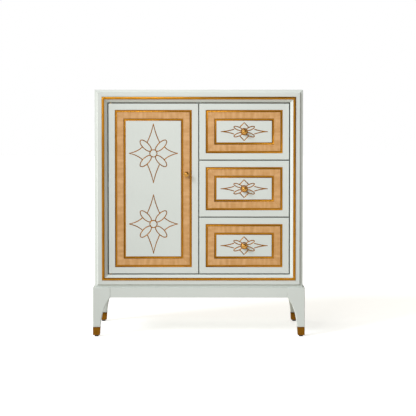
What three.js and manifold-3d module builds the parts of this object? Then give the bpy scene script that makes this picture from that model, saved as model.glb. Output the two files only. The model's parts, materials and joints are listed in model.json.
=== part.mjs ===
// Painted side cabinet: one door on the left, three drawers on the right, in a moulded
// frame, on a stand of four curved legs. Millimetres, +Z up, the front looks towards -Y.
// The origin is on the floor, under the middle of the whole cabinet, knobs included.
import * as THREE from "three";
import { mergeVertices } from "three/addons/utils/BufferGeometryUtils.js";
import Module from "manifold-3d";

const wasm = await Module();
wasm.setup();

// ---------------------------------------------------------------- driving dimensions

// Body (carcass with its front frame) and the stand under it.
const bodyWidth = 784;
const bodyHeight = 746;
const depth = 400; // from the flat of the front frame to the back
const standHeight = 186;
const standOverhang = 8; // how far the stand stands out past each side of the body

// Clearances.
const glueGap = 0.2; // between faces that are glued, screwed or pressed together
const jointGap = 0.3; // around tenons, housings and inlays
const frontGap = 4; // around the door and the drawer fronts
const stopGap = 1; // behind the closed door and drawer fronts
const bearingGap = 0.1; // radial, around the hinge pins
const slideGap = 0.5; // around a runner in its groove
const boxGap = 1.5; // between a drawer box and the divider

// Stand.
const legTopWidth = 66;
const legAnkleWidth = 28;
const legCurvePull = 5; // control point of the curve, inwards from the ankle
const legCurveDrop = 40; // control point of the curve, below the apron
const apronHeight = 38;
const apronThickness = 22;
const apronTenonLength = 20;
const apronTenonInset = 6; // shoulder around the tenon
const ferruleHeight = 30;
const ferruleWall = 1.2;
const ferruleFloor = 2;
const ferruleTaper = 1.5;
const ferruleChamfer = 1.5;
const glideHeight = 6;
const glideRadius = 8;
const glideBevel = 1.5;
const nailRadius = 1.2;
const nailLength = 14;
const legEndRoot = 2; // how far the leg's end is let into the leg above the ferrule

// Carcass boards.
const boardThickness = 20;
const dividerThickness = 18;
const shelfThickness = 18;
const shelfSetback = 20;
const housingDepth = 6; // how deep the shelf is let into its neighbours
const backThickness = 8;
const backRebate = 12; // how far the back is let into the sides and the top
const backRaise = 10; // from the lower edge of the body up to the back
const bottomPanelDrop = 2; // from the lower edge of the opening down to the bottom panel

// Front frame moulding, measured inwards from its outer edge.
const mouldingWidth = 48;
const filletWidth = 5;
const filletDrop = 8.5;
const coveWidth = 7;
const coveDrop = 7;
const coveFoot = 1.75; // how far in from the flat the steep part of the cove ends
const flatWidth = 14.5;
const beadInset = 0.5;
const beadWidth = 10;
const beadRise = 3.5;
const slopeWidth = 10.5;
const mitreGap = 0.15; // each mitred end is this much short

// Door and drawer fronts.
const frontThickness = 20;
const frontRecess = 10; // how far they lie behind the flat of the frame
const frontEdge = 1.5;
const railWidth = 24; // painted rail outside the outer groove
const grooveWidth = 8.5;
const grooveDepth = 3.5;
const bandWidth = 24;
const bandThickness = 1.5;
const drawerCount = 3;

// Knobs.
const knobProjection = 26;
const knobRadius = 10.5;
const knobHeadDepth = 18;
const knobNeckRadius = 4.2;
const knobFlangeRadius = 7;
const knobFlangeThickness = 1.5;
const knobStudRadius = 2;
const knobStudLength = 13;
const doorKnobRise = 55; // above the middle of the door

// Pivot hinges of the door.
const pivotInset = 8; // axis, from the hinged edge of the door
const pivotDepth = 7; // axis, behind the face of the door
const pinRadius = 3;
const pinLength = 10; // inside the frame
const collarRadius = 4.5;
const pivotPlateLength = 46;
const pivotPlateThickness = 2;

// Drawer boxes and their runners.
const boxDepth = 340;
const boxFoot = 12; // from the lower edge of the front up to the box
const boxHeadroom = 39; // from the top of the box up to the top of the front
const boxSideThickness = 12;
const boxBottomThickness = 5;
const boxBottomRise = 12; // bottom of the panel above the lower edge of the sides
const boxGrooveDepth = 5;
const frontHousingDepth = 6;
const runnerHeight = 14;
const runnerBite = 6.5; // how far a runner reaches into its groove
const runnerSetback = 13; // from the front plane of the carcass
const runnerBackGap = 10;

// Magnetic catch on the divider, in front of the shelf.
const catchWidth = 12;
const catchHeight = 18;
const catchGap = 1.5; // behind the closed door

// ---------------------------------------------------------------- derived planes

const standWidth = bodyWidth + 2 * standOverhang;
const totalHeight = standHeight + bodyHeight;
const knobPastFrame = knobProjection - frontRecess;
const frameY = -(depth + knobPastFrame) / 2 + knobPastFrame; // flat of the front frame
const backY = frameY + depth;
const faceY = frameY + frontRecess; // faces of door and drawers
const carcassY = faceY + frontThickness + stopGap; // front edges of the carcass boards
const halfBody = bodyWidth / 2;
const halfStand = standWidth / 2;
const insideX = halfBody - boardThickness;
const openingX = halfBody - mouldingWidth;
const bodyLow = standHeight + glueGap;
const openingLow = bodyLow + mouldingWidth;
const openingHigh = totalHeight - mouldingWidth;
const openingMiddle = (openingLow + openingHigh) / 2;
const floorZ = openingLow - bottomPanelDrop; // top of the bottom panel
const ceilingZ = totalHeight - boardThickness; // underside of the top panel
const backPanelY = backY - backThickness;
const backPanelLow = bodyLow + backRaise;
const boardEndY = backPanelY - jointGap; // back edges of the boards in front of the back panel
const frontWidth = (2 * openingX - 3 * frontGap) / 2;
const doorHeight = openingHigh - openingLow - 2 * frontGap;
const frontPitch = (doorHeight + frontGap) / drawerCount;
const drawerFrontHeight = frontPitch - frontGap;
const doorX = -(frontWidth + frontGap) / 2;
const drawerX = -doorX;
const pivotX = doorX - frontWidth / 2 + pivotInset;
const pivotY = faceY + pivotDepth;
const plateY = [pivotDepth - collarRadius, frontThickness - pivotDepth + collarRadius];
const bandInset = railWidth + grooveWidth;
const bandRecess = bandThickness + glueGap;
const shelfLow = (floorZ + ceilingZ - shelfThickness) / 2;
const shelfHigh = shelfLow + shelfThickness;
const shelfY = carcassY + shelfSetback;
const halfDivider = dividerThickness / 2;
const mouldingThickness = carcassY - glueGap - frameY;
const boxHeight = drawerFrontHeight - boxFoot - boxHeadroom;
const boxInset = halfDivider + boxGap - frontGap / 2; // from the end of a front to its box
const boxHalfWidth = frontWidth / 2 - boxInset;
const roundSteps = 32; // sides of pins and bores
const knobSides = 20;
const knobArcSteps = 9;
const grooveArcSteps = 6;
const mouldingArcSteps = 8;
const legArcSteps = 12;
const cutPast = 1; // how far a cutting shape passes the face that it cuts

// ---------------------------------------------------------------- materials

const finishes = {
  paint: { color: 0xd7dbd6, roughness: 0.38, metalness: 0 },
  veneer: { color: 0xd0a06a, roughness: 0.42, metalness: 0 },
  gilt: { color: 0xc8964a, roughness: 0.32, metalness: 1 },
  brass: { color: 0x9a6420, roughness: 0.35, metalness: 1 },
  plastic: { color: 0x1b1a19, roughness: 0.6, metalness: 0 },
  timber: { color: 0xd9bd92, roughness: 0.6, metalness: 0 },
};

function material(finish) {
  return new THREE.MeshStandardMaterial(finishes[finish]);
}

// ---------------------------------------------------------------- building helpers

function toSolid(geometry) {
  const bare = geometry.clone();
  bare.deleteAttribute("normal");
  bare.deleteAttribute("uv");
  const merged = mergeVertices(bare, 1e-4);
  const mesh = new wasm.Mesh({
    numProp: 3,
    vertProperties: new Float32Array(merged.attributes.position.array),
    triVerts: new Uint32Array(merged.index.array),
  });
  return new wasm.Manifold(mesh);
}

function toGeometry(solid) {
  const mesh = solid.getMesh();
  const geometry = new THREE.BufferGeometry();
  geometry.setAttribute("position", new THREE.BufferAttribute(mesh.vertProperties, 3));
  geometry.setIndex(new THREE.BufferAttribute(mesh.triVerts, 1));
  geometry.computeVertexNormals();
  return geometry;
}

function cut(geometry, ...cutters) {
  let solid = toSolid(geometry);
  for (const cutter of cutters) {
    solid = solid.subtract(toSolid(cutter));
  }
  return toGeometry(solid);
}

function join(geometry, ...others) {
  let solid = toSolid(geometry);
  for (const other of others) {
    solid = solid.add(toSolid(other));
  }
  return toGeometry(solid);
}

// A straight board or a straight cut, from its lowest to its highest place on each axis.
function block([xLow, xHigh], [yLow, yHigh], [zLow, zHigh]) {
  const geometry = new THREE.BoxGeometry(xHigh - xLow, yHigh - yLow, zHigh - zLow);
  return geometry.translate((xLow + xHigh) / 2, (yLow + yHigh) / 2, (zLow + zHigh) / 2);
}

// An upright round rod from one height to another.
function rod(x, y, radius, [zLow, zHigh]) {
  const geometry = new THREE.CylinderGeometry(radius, radius, zHigh - zLow, roundSteps);
  return geometry.rotateX(Math.PI / 2).translate(x, y, (zLow + zHigh) / 2);
}

// A turned piece whose axis is the world Z axis; the outline runs up from axis to axis.
function turned(outline, steps) {
  return new THREE.LatheGeometry(outline, steps).rotateX(Math.PI / 2);
}

function addPiece(parent, name, finish, geometry) {
  const mesh = new THREE.Mesh(geometry, material(finish));
  mesh.name = name;
  parent.add(mesh);
  return mesh;
}

const cabinet = new THREE.Group();

// ---------------------------------------------------------------- stand

// A post in the corner frame: its outer faces are the planes x = 0 and y = 0, and both of
// its inner faces follow the same outline (distance from the outer face, height).
function cornerPost(outline, reach) {
  const acrossX = new THREE.ExtrudeGeometry(outline, {
    depth: reach,
    bevelEnabled: false,
    curveSegments: legArcSteps,
  });
  acrossX.rotateX(Math.PI / 2).translate(0, reach, 0);
  const acrossY = acrossX.clone().rotateZ(Math.PI / 2).translate(reach, 0, 0);
  return toGeometry(toSolid(acrossX).intersect(toSolid(acrossY)));
}

function legOutline() {
  const ankleZ = glideHeight + ferruleHeight + glueGap;
  const curveTopZ = standHeight - apronHeight;
  const outline = new THREE.Shape();
  outline.moveTo(0, ankleZ);
  outline.lineTo(legAnkleWidth, ankleZ);
  outline.quadraticCurveTo(
    legAnkleWidth + legCurvePull,
    curveTopZ - legCurveDrop,
    legTopWidth,
    curveTopZ,
  );
  outline.lineTo(legTopWidth, standHeight);
  outline.lineTo(0, standHeight);
  return outline;
}

function ferruleOutline() {
  const lowWidth = legAnkleWidth - ferruleTaper;
  const outline = new THREE.Shape();
  outline.moveTo(0, glideHeight);
  outline.lineTo(lowWidth - ferruleChamfer, glideHeight);
  outline.lineTo(lowWidth, glideHeight + ferruleChamfer);
  outline.lineTo(legAnkleWidth, glideHeight + ferruleHeight);
  outline.lineTo(0, glideHeight + ferruleHeight);
  return outline;
}

// The square hollow of the ferrule, which the leg's end fills but for a gap.
const socketSpan = [ferruleWall, legAnkleWidth - ferruleTaper - ferruleWall];
const socketFloorZ = glideHeight + ferruleFloor;
const footMiddle = (legAnkleWidth - ferruleTaper) / 2;

function nailHole() {
  const top = glideHeight + nailLength + jointGap;
  return rod(footMiddle, footMiddle, nailRadius + jointGap, [0, top]);
}

// A mortise for the apron that runs along x from this leg.
function mortiseX() {
  const across = [apronTenonInset - jointGap, apronThickness - apronTenonInset + jointGap];
  return block(
    [legTopWidth - apronTenonLength - jointGap, legTopWidth + cutPast],
    across,
    [
      standHeight - apronHeight + apronTenonInset - jointGap,
      standHeight - apronTenonInset + jointGap,
    ],
  );
}

function legGeometry() {
  const post = cornerPost(legOutline(), legTopWidth);
  const endSpan = [socketSpan[0] + jointGap, socketSpan[1] - jointGap];
  const end = block(endSpan, endSpan, [socketFloorZ + jointGap, glideHeight + ferruleHeight + legEndRoot]);
  const mortiseY = mortiseX().rotateZ(Math.PI / 2).scale(-1, 1, 1);
  mortiseY.index.array.reverse();
  return cut(join(post, end), nailHole(), mortiseX(), mortiseY);
}

function ferruleGeometry() {
  const shell = cornerPost(ferruleOutline(), legAnkleWidth);
  const past = glideHeight + ferruleHeight + cutPast;
  return cut(shell, block(socketSpan, socketSpan, [socketFloorZ, past]), nailHole());
}

function glideGeometry() {
  const top = glideHeight - glueGap;
  const outline = [
    [0, 0],
    [glideRadius - glideBevel, 0],
    [glideRadius, glideBevel],
    [glideRadius, top],
    [nailRadius, top],
    [nailRadius, glideHeight + nailLength],
    [0, glideHeight + nailLength],
  ].map(([radius, height]) => new THREE.Vector2(radius, height));
  return turned(outline, roundSteps).translate(footMiddle, footMiddle, 0);
}

const corners = [
  { place: "front_left", x: -1, y: -1 },
  { place: "front_right", x: 1, y: -1 },
  { place: "back_left", x: -1, y: 1 },
  { place: "back_right", x: 1, y: 1 },
];
for (const { place, x, y } of corners) {
  const corner = new THREE.Group();
  corner.position.set(x * halfStand, y < 0 ? frameY : backY, 0);
  corner.scale.set(-x, -y, 1);
  addPiece(corner, "leg_" + place, "paint", legGeometry());
  addPiece(corner, "ferrule_" + place, "brass", ferruleGeometry());
  addPiece(corner, "glide_" + place, "plastic", glideGeometry());
  cabinet.add(corner);
}

// An apron of this length between two legs, centred, with its outer face on y = 0.
function apronGeometry(length) {
  const low = standHeight - apronHeight;
  const half = length / 2;
  const rail = block([-half + glueGap, half - glueGap], [0, apronThickness], [low, standHeight]);
  const tenons = block(
    [-half - apronTenonLength, half + apronTenonLength],
    [apronTenonInset, apronThickness - apronTenonInset],
    [low + apronTenonInset, standHeight - apronTenonInset],
  );
  return join(rail, tenons);
}

const apronAcross = standWidth - 2 * legTopWidth;
const apronAlong = depth - 2 * legTopWidth;
const standMiddleY = (frameY + backY) / 2;
const aprons = [
  { side: "front", length: apronAcross, x: 0, y: frameY, turn: 0 },
  { side: "back", length: apronAcross, x: 0, y: backY, turn: Math.PI },
  { side: "left", length: apronAlong, x: -halfStand, y: standMiddleY, turn: -Math.PI / 2 },
  { side: "right", length: apronAlong, x: halfStand, y: standMiddleY, turn: Math.PI / 2 },
];
for (const { side, length, x, y, turn } of aprons) {
  const apron = addPiece(cabinet, "apron_" + side, "paint", apronGeometry(length));
  apron.position.set(x, y, 0);
  apron.rotation.z = turn;
}

// ---------------------------------------------------------------- carcass

// A side board: rebated for the back, the left one housed for the shelf as well.
function sideGeometry(side) {
  const inner = side * insideX;
  const outer = side * halfBody;
  const span = [Math.min(inner, outer), Math.max(inner, outer)];
  const board = block(span, [carcassY, backY], [bodyLow, ceilingZ - glueGap]);
  const rebateX = side * (insideX + backRebate + jointGap);
  const pastX = side * (insideX - cutPast);
  const rebate = block(
    [Math.min(rebateX, pastX), Math.max(rebateX, pastX)],
    [boardEndY, backY + cutPast],
    [backPanelLow - jointGap, totalHeight],
  );
  if (side > 0) {
    return cut(board, rebate);
  }
  return cut(board, rebate, shelfHousing(inner - housingDepth, inner + cutPast));
}

// The stopped groove that an end of the shelf fits into.
function shelfHousing(xLow, xHigh) {
  return block(
    [xLow, xHigh],
    [shelfY - jointGap, boardEndY + cutPast],
    [shelfLow - jointGap, shelfHigh + jointGap],
  );
}

function topGeometry() {
  const board = block([-halfBody, halfBody], [carcassY, backY], [ceilingZ, totalHeight]);
  const rebateX = insideX + backRebate + jointGap;
  const rebate = block(
    [-rebateX, rebateX],
    [boardEndY, backY + cutPast],
    [ceilingZ - cutPast, ceilingZ + backRebate + jointGap],
  );
  return cut(board, rebate);
}

function dividerGeometry() {
  const board = block(
    [-halfDivider, halfDivider],
    [carcassY, boardEndY],
    [floorZ + glueGap, ceilingZ - glueGap],
  );
  return cut(board, shelfHousing(-halfDivider - cutPast, -halfDivider + housingDepth));
}

addPiece(cabinet, "side_left", "paint", sideGeometry(-1));
addPiece(cabinet, "side_right", "paint", sideGeometry(1));
addPiece(cabinet, "top_panel", "paint", topGeometry());
addPiece(cabinet, "divider", "paint", dividerGeometry());
addPiece(
  cabinet,
  "bottom_panel",
  "paint",
  block(
    [-insideX + glueGap, insideX - glueGap],
    [carcassY, boardEndY],
    [floorZ - boardThickness, floorZ],
  ),
);
addPiece(
  cabinet,
  "back_panel",
  "timber",
  block(
    [-insideX - backRebate, insideX + backRebate],
    [backPanelY, backY],
    [backPanelLow, ceilingZ + backRebate],
  ),
);
addPiece(
  cabinet,
  "shelf",
  "paint",
  block(
    [-insideX - housingDepth + jointGap, -halfDivider + housingDepth - jointGap],
    [shelfY, boardEndY],
    [shelfLow, shelfHigh],
  ),
);
addPiece(
  cabinet,
  "magnetic_catch",
  "plastic",
  block(
    [-halfDivider - glueGap - catchWidth, -halfDivider - glueGap],
    [faceY + frontThickness + catchGap, shelfY - glueGap],
    [shelfLow, shelfLow + catchHeight],
  ),
);

// ---------------------------------------------------------------- front frame

// Section of the moulding: x inwards from the outer edge, y forwards from the flat.
function mouldingOutline() {
  const coveEnd = filletWidth + coveWidth;
  const beadMiddle = coveEnd + flatWidth + beadInset + beadWidth / 2;
  const beadStart = beadMiddle - beadWidth / 2;
  const outline = new THREE.Shape();
  outline.moveTo(0, -mouldingThickness);
  outline.lineTo(mouldingWidth, -mouldingThickness);
  outline.lineTo(mouldingWidth, -frontRecess);
  outline.lineTo(mouldingWidth - slopeWidth, 0);
  outline.absellipse(beadMiddle, 0, beadWidth / 2, beadRise, 0, Math.PI, false, 0);
  outline.lineTo(beadStart - beadInset, 0);
  outline.lineTo(coveEnd, 0);
  outline.quadraticCurveTo(coveEnd - coveFoot, -coveDrop, filletWidth, -coveDrop);
  outline.lineTo(0, -filletDrop);
  return outline;
}

// One rail of the frame with mitred ends, lying along x at the bottom of a frame that is
// centred on the origin; reach is from there to the rail's outer edge.
function mitredRail(outline, length, reach) {
  const geometry = new THREE.ExtrudeGeometry(outline, {
    depth: length,
    bevelEnabled: false,
    curveSegments: mouldingArcSteps,
  });
  const place = geometry.attributes.position;
  for (let i = 0; i < place.count; i += 1) {
    const inwards = place.getX(i);
    const forwards = place.getY(i);
    const end = length / 2 - inwards - mitreGap;
    const along = place.getZ(i) > 0 ? end : -end;
    place.setXYZ(i, along, -forwards, inwards - reach);
  }
  return geometry;
}

// Bores for the hinge pins, one down into the bottom rail and one up into the top rail.
const boreRadius = pinRadius + bearingGap;
const pivotBores = {
  bottom: rod(pivotX, pivotY, boreRadius, [openingLow - pinLength - cutPast, openingLow + cutPast]),
  top: rod(pivotX, pivotY, boreRadius, [openingHigh - cutPast, openingHigh + pinLength + cutPast]),
};
const frameHeight = totalHeight - bodyLow;
const rails = [
  { side: "bottom", length: bodyWidth, reach: frameHeight / 2 },
  { side: "right", length: frameHeight, reach: halfBody },
  { side: "top", length: bodyWidth, reach: frameHeight / 2 },
  { side: "left", length: frameHeight, reach: halfBody },
];
rails.forEach(({ side, length, reach }, turn) => {
  let rail = mitredRail(mouldingOutline(), length, reach);
  rail.rotateY((-turn * Math.PI) / 2).translate(0, frameY, openingMiddle);
  if (pivotBores[side]) {
    rail = cut(rail, pivotBores[side]);
  }
  addPiece(cabinet, "moulding_" + side, "paint", rail);
});

// ---------------------------------------------------------------- door and drawer fronts

// A closed ring: the section (x inwards from the outer edge, y forwards from the face, in
// anticlockwise order) goes round a rectangle that is centred on the origin, and is mitred.
function rectangularRing(section, width, height) {
  const turns = [
    [-1, -1],
    [1, -1],
    [1, 1],
    [-1, 1],
  ];
  const places = [];
  for (const [sideX, sideZ] of turns) {
    for (const point of section) {
      places.push(sideX * (width / 2 - point.x), -point.y, sideZ * (height / 2 - point.x));
    }
  }
  const faces = [];
  const count = section.length;
  for (let corner = 0; corner < turns.length; corner += 1) {
    const here = corner * count;
    const next = ((corner + 1) % turns.length) * count;
    for (let i = 0; i < count; i += 1) {
      const j = (i + 1) % count;
      faces.push(here + i, here + j, next + j, here + i, next + j, next + i);
    }
  }
  const geometry = new THREE.BufferGeometry();
  geometry.setAttribute("position", new THREE.Float32BufferAttribute(places, 3));
  geometry.setIndex(faces);
  return geometry;
}

// The cut for the ornament of a front: a round groove, the recess of the band, and a second
// round groove. Each groove runs down to the recess on the side of the band.
function ornamentSection() {
  const grooveHalf = grooveWidth / 2;
  const recessAngle = Math.asin(bandRecess / grooveDepth);
  const outerMiddle = railWidth + grooveHalf;
  const innerMiddle = bandInset + bandWidth + grooveHalf;
  const outer = new THREE.EllipseCurve(
    outerMiddle, 0, grooveHalf, grooveDepth, Math.PI, 2 * Math.PI - recessAngle,
  );
  const inner = new THREE.EllipseCurve(
    innerMiddle, 0, grooveHalf, grooveDepth, Math.PI + recessAngle, 2 * Math.PI,
  );
  return [
    new THREE.Vector2(railWidth, cutPast),
    ...outer.getPoints(grooveArcSteps),
    ...inner.getPoints(grooveArcSteps),
    new THREE.Vector2(bandInset + bandWidth + grooveWidth, cutPast),
  ];
}

function bandGeometry(width, height) {
  const section = [
    new THREE.Vector2(bandInset, -bandThickness),
    new THREE.Vector2(bandInset + bandWidth, -bandThickness),
    new THREE.Vector2(bandInset + bandWidth, 0),
    new THREE.Vector2(bandInset, 0),
  ];
  return rectangularRing(section, width, height);
}

// A front with its face on y = 0, centred on the origin, softened edges and its ornament.
function frontGeometry(width, height) {
  const outline = new THREE.Shape();
  outline.moveTo(-width / 2, -height / 2);
  outline.lineTo(width / 2, -height / 2);
  outline.lineTo(width / 2, height / 2);
  outline.lineTo(-width / 2, height / 2);
  const board = new THREE.ExtrudeGeometry(outline, {
    depth: frontThickness - 2 * frontEdge,
    bevelThickness: frontEdge,
    bevelSize: frontEdge,
    bevelOffset: -frontEdge,
    bevelSegments: 2,
  });
  board.rotateX(Math.PI / 2).translate(0, frontThickness - frontEdge, 0);
  return cut(board, rectangularRing(ornamentSection(), width, height));
}

// A knob on the plane y = 0: stud behind it, flange, neck and rounded head in front.
function knobGeometry() {
  const headMiddle = knobProjection - knobHeadDepth / 2;
  const neckAngle = Math.acos(knobNeckRadius / knobRadius);
  const head = new THREE.EllipseCurve(
    0, headMiddle, knobRadius, knobHeadDepth / 2, -neckAngle, Math.PI / 2,
  );
  const outline = [
    new THREE.Vector2(0, -knobStudLength),
    new THREE.Vector2(knobStudRadius, -knobStudLength),
    new THREE.Vector2(knobStudRadius, glueGap),
    new THREE.Vector2(knobFlangeRadius, glueGap),
    new THREE.Vector2(knobFlangeRadius, knobFlangeThickness),
    new THREE.Vector2(knobNeckRadius, 2 * knobFlangeThickness),
    ...head.getPoints(knobArcSteps),
  ];
  outline[outline.length - 1].x = 0;
  return new THREE.LatheGeometry(outline, knobSides).rotateX(Math.PI);
}

function studHole(x, z) {
  const hole = rod(0, 0, knobStudRadius + jointGap, [-knobStudLength - jointGap, cutPast]);
  return hole.rotateX(Math.PI / 2).translate(x, 0, z);
}

// ---------------------------------------------------------------- door

// A pivot hinge for the end of the door that points along up (1) or down (-1), placed on
// the pivot axis with z = 0 at that end of the door: plate, collar in the gap, and pin.
function pivotGeometry(up) {
  const heights = (low, high) => [Math.min(up * low, up * high), Math.max(up * low, up * high)];
  const plate = block(
    [-collarRadius, pivotPlateLength - collarRadius],
    [plateY[0] - pivotDepth, plateY[1] - pivotDepth],
    heights(-pivotPlateThickness, 0),
  );
  const collar = rod(0, 0, collarRadius, heights(-pivotPlateThickness / 2, frontGap - glueGap));
  const pin = rod(0, 0, pinRadius, heights(-pivotPlateThickness / 2, frontGap + pinLength));
  return join(plate, collar, pin);
}

// The recess for the plate, in the frame of the door.
function pivotRecess(up) {
  const x = -frontWidth / 2 + pivotInset;
  const end = (up * doorHeight) / 2;
  const floor = end - up * (pivotPlateThickness + glueGap);
  const past = end + up * cutPast;
  return block(
    [x - collarRadius - jointGap, x + pivotPlateLength - collarRadius + jointGap],
    [plateY[0] - jointGap, plateY[1] + jointGap],
    [Math.min(floor, past), Math.max(floor, past)],
  );
}

const doorKnobX = frontWidth / 2 - bandInset - bandWidth / 2; // in the middle of the band
const door = new THREE.Group();
door.position.set(doorX, faceY, openingMiddle);
addPiece(
  door,
  "door_leaf",
  "paint",
  cut(
    frontGeometry(frontWidth, doorHeight),
    studHole(doorKnobX, doorKnobRise),
    pivotRecess(1),
    pivotRecess(-1),
  ),
);
addPiece(
  door,
  "door_veneer_band",
  "veneer",
  cut(bandGeometry(frontWidth, doorHeight), studHole(doorKnobX, doorKnobRise)),
);
addPiece(door, "door_knob", "gilt", knobGeometry()).position.set(doorKnobX, 0, doorKnobRise);
for (const [end, up] of [["top", 1], ["bottom", -1]]) {
  const pivot = addPiece(door, "door_pivot_" + end, "brass", pivotGeometry(up));
  pivot.position.set(-frontWidth / 2 + pivotInset, pivotDepth, (up * doorHeight) / 2);
}
cabinet.add(door);

// ---------------------------------------------------------------- drawers

const boxLow = -drawerFrontHeight / 2 + boxFoot;
const boxHigh = boxLow + boxHeight;
const boxBackY = frontThickness + boxDepth;
const bottomLow = boxLow + boxBottomRise;
const bottomHigh = bottomLow + boxBottomThickness;
const boxInnerX = boxHalfWidth - boxSideThickness;
const runnerMiddle = (boxLow + boxHigh) / 2;
const runnerGrooveDepth = runnerBite + slideGap;
const runnerFrontY = carcassY + runnerSetback;

// The groove in a side or a front that the bottom panel slides into.
function bottomGroove(x, y) {
  return block(x, y, [bottomLow - jointGap, bottomHigh + jointGap]);
}

// One side of the box, as the right-hand one; the left-hand one is its mirror image.
function boxSideGeometry() {
  const board = block(
    [boxInnerX, boxHalfWidth],
    [frontThickness + glueGap, boxBackY],
    [boxLow, boxHigh],
  );
  const runnerGroove = block(
    [boxHalfWidth - runnerGrooveDepth, boxHalfWidth + cutPast],
    [runnerFrontY - faceY - slideGap, boxBackY + cutPast],
    [runnerMiddle - runnerHeight / 2 - slideGap, runnerMiddle + runnerHeight / 2 + slideGap],
  );
  const panelGroove = bottomGroove(
    [boxInnerX - cutPast, boxInnerX + boxGrooveDepth],
    [0, boxBackY + cutPast],
  );
  return cut(board, runnerGroove, panelGroove);
}

function drawerFrontGeometry() {
  const housing = bottomGroove(
    [-boxInnerX - boxGrooveDepth, boxInnerX + boxGrooveDepth],
    [frontThickness - frontHousingDepth, frontThickness + cutPast],
  );
  return cut(frontGeometry(frontWidth, drawerFrontHeight), studHole(0, 0), housing);
}

function boxBackGeometry() {
  return block(
    [-boxInnerX + glueGap, boxInnerX - glueGap],
    [boxBackY - boxSideThickness, boxBackY],
    [bottomHigh + glueGap, boxHigh],
  );
}

function boxBottomGeometry() {
  const half = boxInnerX + boxGrooveDepth - jointGap;
  return block(
    [-half, half],
    [frontThickness - frontHousingDepth + jointGap, boxBackY],
    [bottomLow, bottomHigh],
  );
}

["bottom", "middle", "top"].forEach((place, row) => {
  const drawer = new THREE.Group();
  const name = "drawer_" + place + "_";
  const middleZ = openingLow + frontGap + drawerFrontHeight / 2 + row * frontPitch;
  drawer.position.set(drawerX, faceY, middleZ);
  addPiece(drawer, name + "front", "paint", drawerFrontGeometry());
  addPiece(drawer, name + "veneer_band", "veneer", bandGeometry(frontWidth, drawerFrontHeight));
  addPiece(drawer, name + "knob", "gilt", knobGeometry());
  addPiece(drawer, name + "side_right", "timber", boxSideGeometry());
  addPiece(drawer, name + "side_left", "timber", boxSideGeometry()).scale.x = -1;
  addPiece(drawer, name + "back", "timber", boxBackGeometry());
  addPiece(drawer, name + "bottom", "timber", boxBottomGeometry());
  cabinet.add(drawer);

  // The runners are screwed to the divider and to the right side of the carcass.
  const runnerY = [runnerFrontY, backPanelY - runnerBackGap];
  const runnerZ = [
    middleZ + runnerMiddle - runnerHeight / 2,
    middleZ + runnerMiddle + runnerHeight / 2,
  ];
  const leftBoxX = drawerX - boxHalfWidth;
  const rightBoxX = drawerX + boxHalfWidth;
  addPiece(
    cabinet,
    "runner_" + place + "_left",
    "timber",
    block([halfDivider + glueGap, leftBoxX + runnerBite], runnerY, runnerZ),
  );
  addPiece(
    cabinet,
    "runner_" + place + "_right",
    "timber",
    block([rightBoxX - runnerBite, insideX - glueGap], runnerY, runnerZ),
  );
});

export default cabinet;
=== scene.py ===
# %% [markdown]
# # A painted side cabinet with gilt lines
#
# The cabinet has one door, three drawers and four curved legs. Its joinery, sizes and moving
# parts are already drawn as plain solids. This lesson gives every one of them its
# finished surface: eased edges, gilt grooves, engraved stars, veneer, brass and screws.
# The solids are loaded first, as a frame that stays where it is, and each new piece takes its
# place from them. Everything is in metres, with Z up and the front towards -Y.

# %% Load the fixed frame
import json
import math

import bmesh
import bpy
from mathutils import Matrix, Vector


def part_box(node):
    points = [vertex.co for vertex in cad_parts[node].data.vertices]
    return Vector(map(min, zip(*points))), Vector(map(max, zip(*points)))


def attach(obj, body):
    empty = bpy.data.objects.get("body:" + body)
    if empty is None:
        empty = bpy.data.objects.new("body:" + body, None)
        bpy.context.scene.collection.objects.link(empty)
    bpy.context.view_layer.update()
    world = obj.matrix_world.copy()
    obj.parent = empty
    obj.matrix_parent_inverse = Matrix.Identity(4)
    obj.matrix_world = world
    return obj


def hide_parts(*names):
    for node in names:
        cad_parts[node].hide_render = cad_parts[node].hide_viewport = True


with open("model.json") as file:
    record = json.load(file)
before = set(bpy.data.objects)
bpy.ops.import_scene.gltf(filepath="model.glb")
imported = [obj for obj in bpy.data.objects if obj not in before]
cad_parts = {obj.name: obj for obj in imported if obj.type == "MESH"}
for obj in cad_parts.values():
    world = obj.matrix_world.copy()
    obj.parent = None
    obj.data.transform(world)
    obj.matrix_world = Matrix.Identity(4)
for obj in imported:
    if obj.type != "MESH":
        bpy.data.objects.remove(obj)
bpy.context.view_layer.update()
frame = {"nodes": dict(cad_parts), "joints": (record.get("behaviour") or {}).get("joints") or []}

# %% [markdown]
# ## Nodes and colours
#
# Materials and geometry trees are both made of nodes, so one small function adds a node to
# either: its keyword settings are the node's properties, and `links` gives each named socket
# a number, a colour or another node's output. Where a whole node is given, its first output
# is meant. Colours are written as they look on a screen, in hex, while a shader wants linear
# light, so one function turns one into the other.

# %% One function for nodes and one for colours
MM = 0.001
MIX_A, MIX_B, MIX_COLOUR = 6, 7, 2  # a Mix node's colour sockets have no names of their own


def add(tree, kind, links=None, **settings):
    node = tree.nodes.new(kind)
    for setting, value in settings.items():
        setattr(node, setting, value)
    for socket, value in (links or {}).items():
        if isinstance(value, bpy.types.Node):
            value = value.outputs[0]
        if isinstance(value, bpy.types.NodeSocket):
            tree.links.new(value, node.inputs[socket])
        else:
            node.inputs[socket].default_value = value
    return node


def linear(hex_colour):
    shares = [int(hex_colour[i : i + 2], 16) / 255 for i in (1, 3, 5)]
    low = [share / 12.92 for share in shares]
    high = [((share + 0.055) / 1.055) ** 2.4 for share in shares]
    return [a if share <= 0.04045 else b for share, a, b in zip(shares, low, high)] + [1.0]


def new_material(name, constants):
    material = bpy.data.materials.new(name)
    material.use_nodes = True
    shader = material.node_tree.nodes["Principled BSDF"]
    for socket, value in constants.items():
        shader.inputs[socket].default_value = value
    print("material:", name)
    return material, material.node_tree, shader


def per_mm(size):
    """The scale at which a pattern on coordinates in metres repeats every size millimetres."""
    return 1 / (size * MM)


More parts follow.
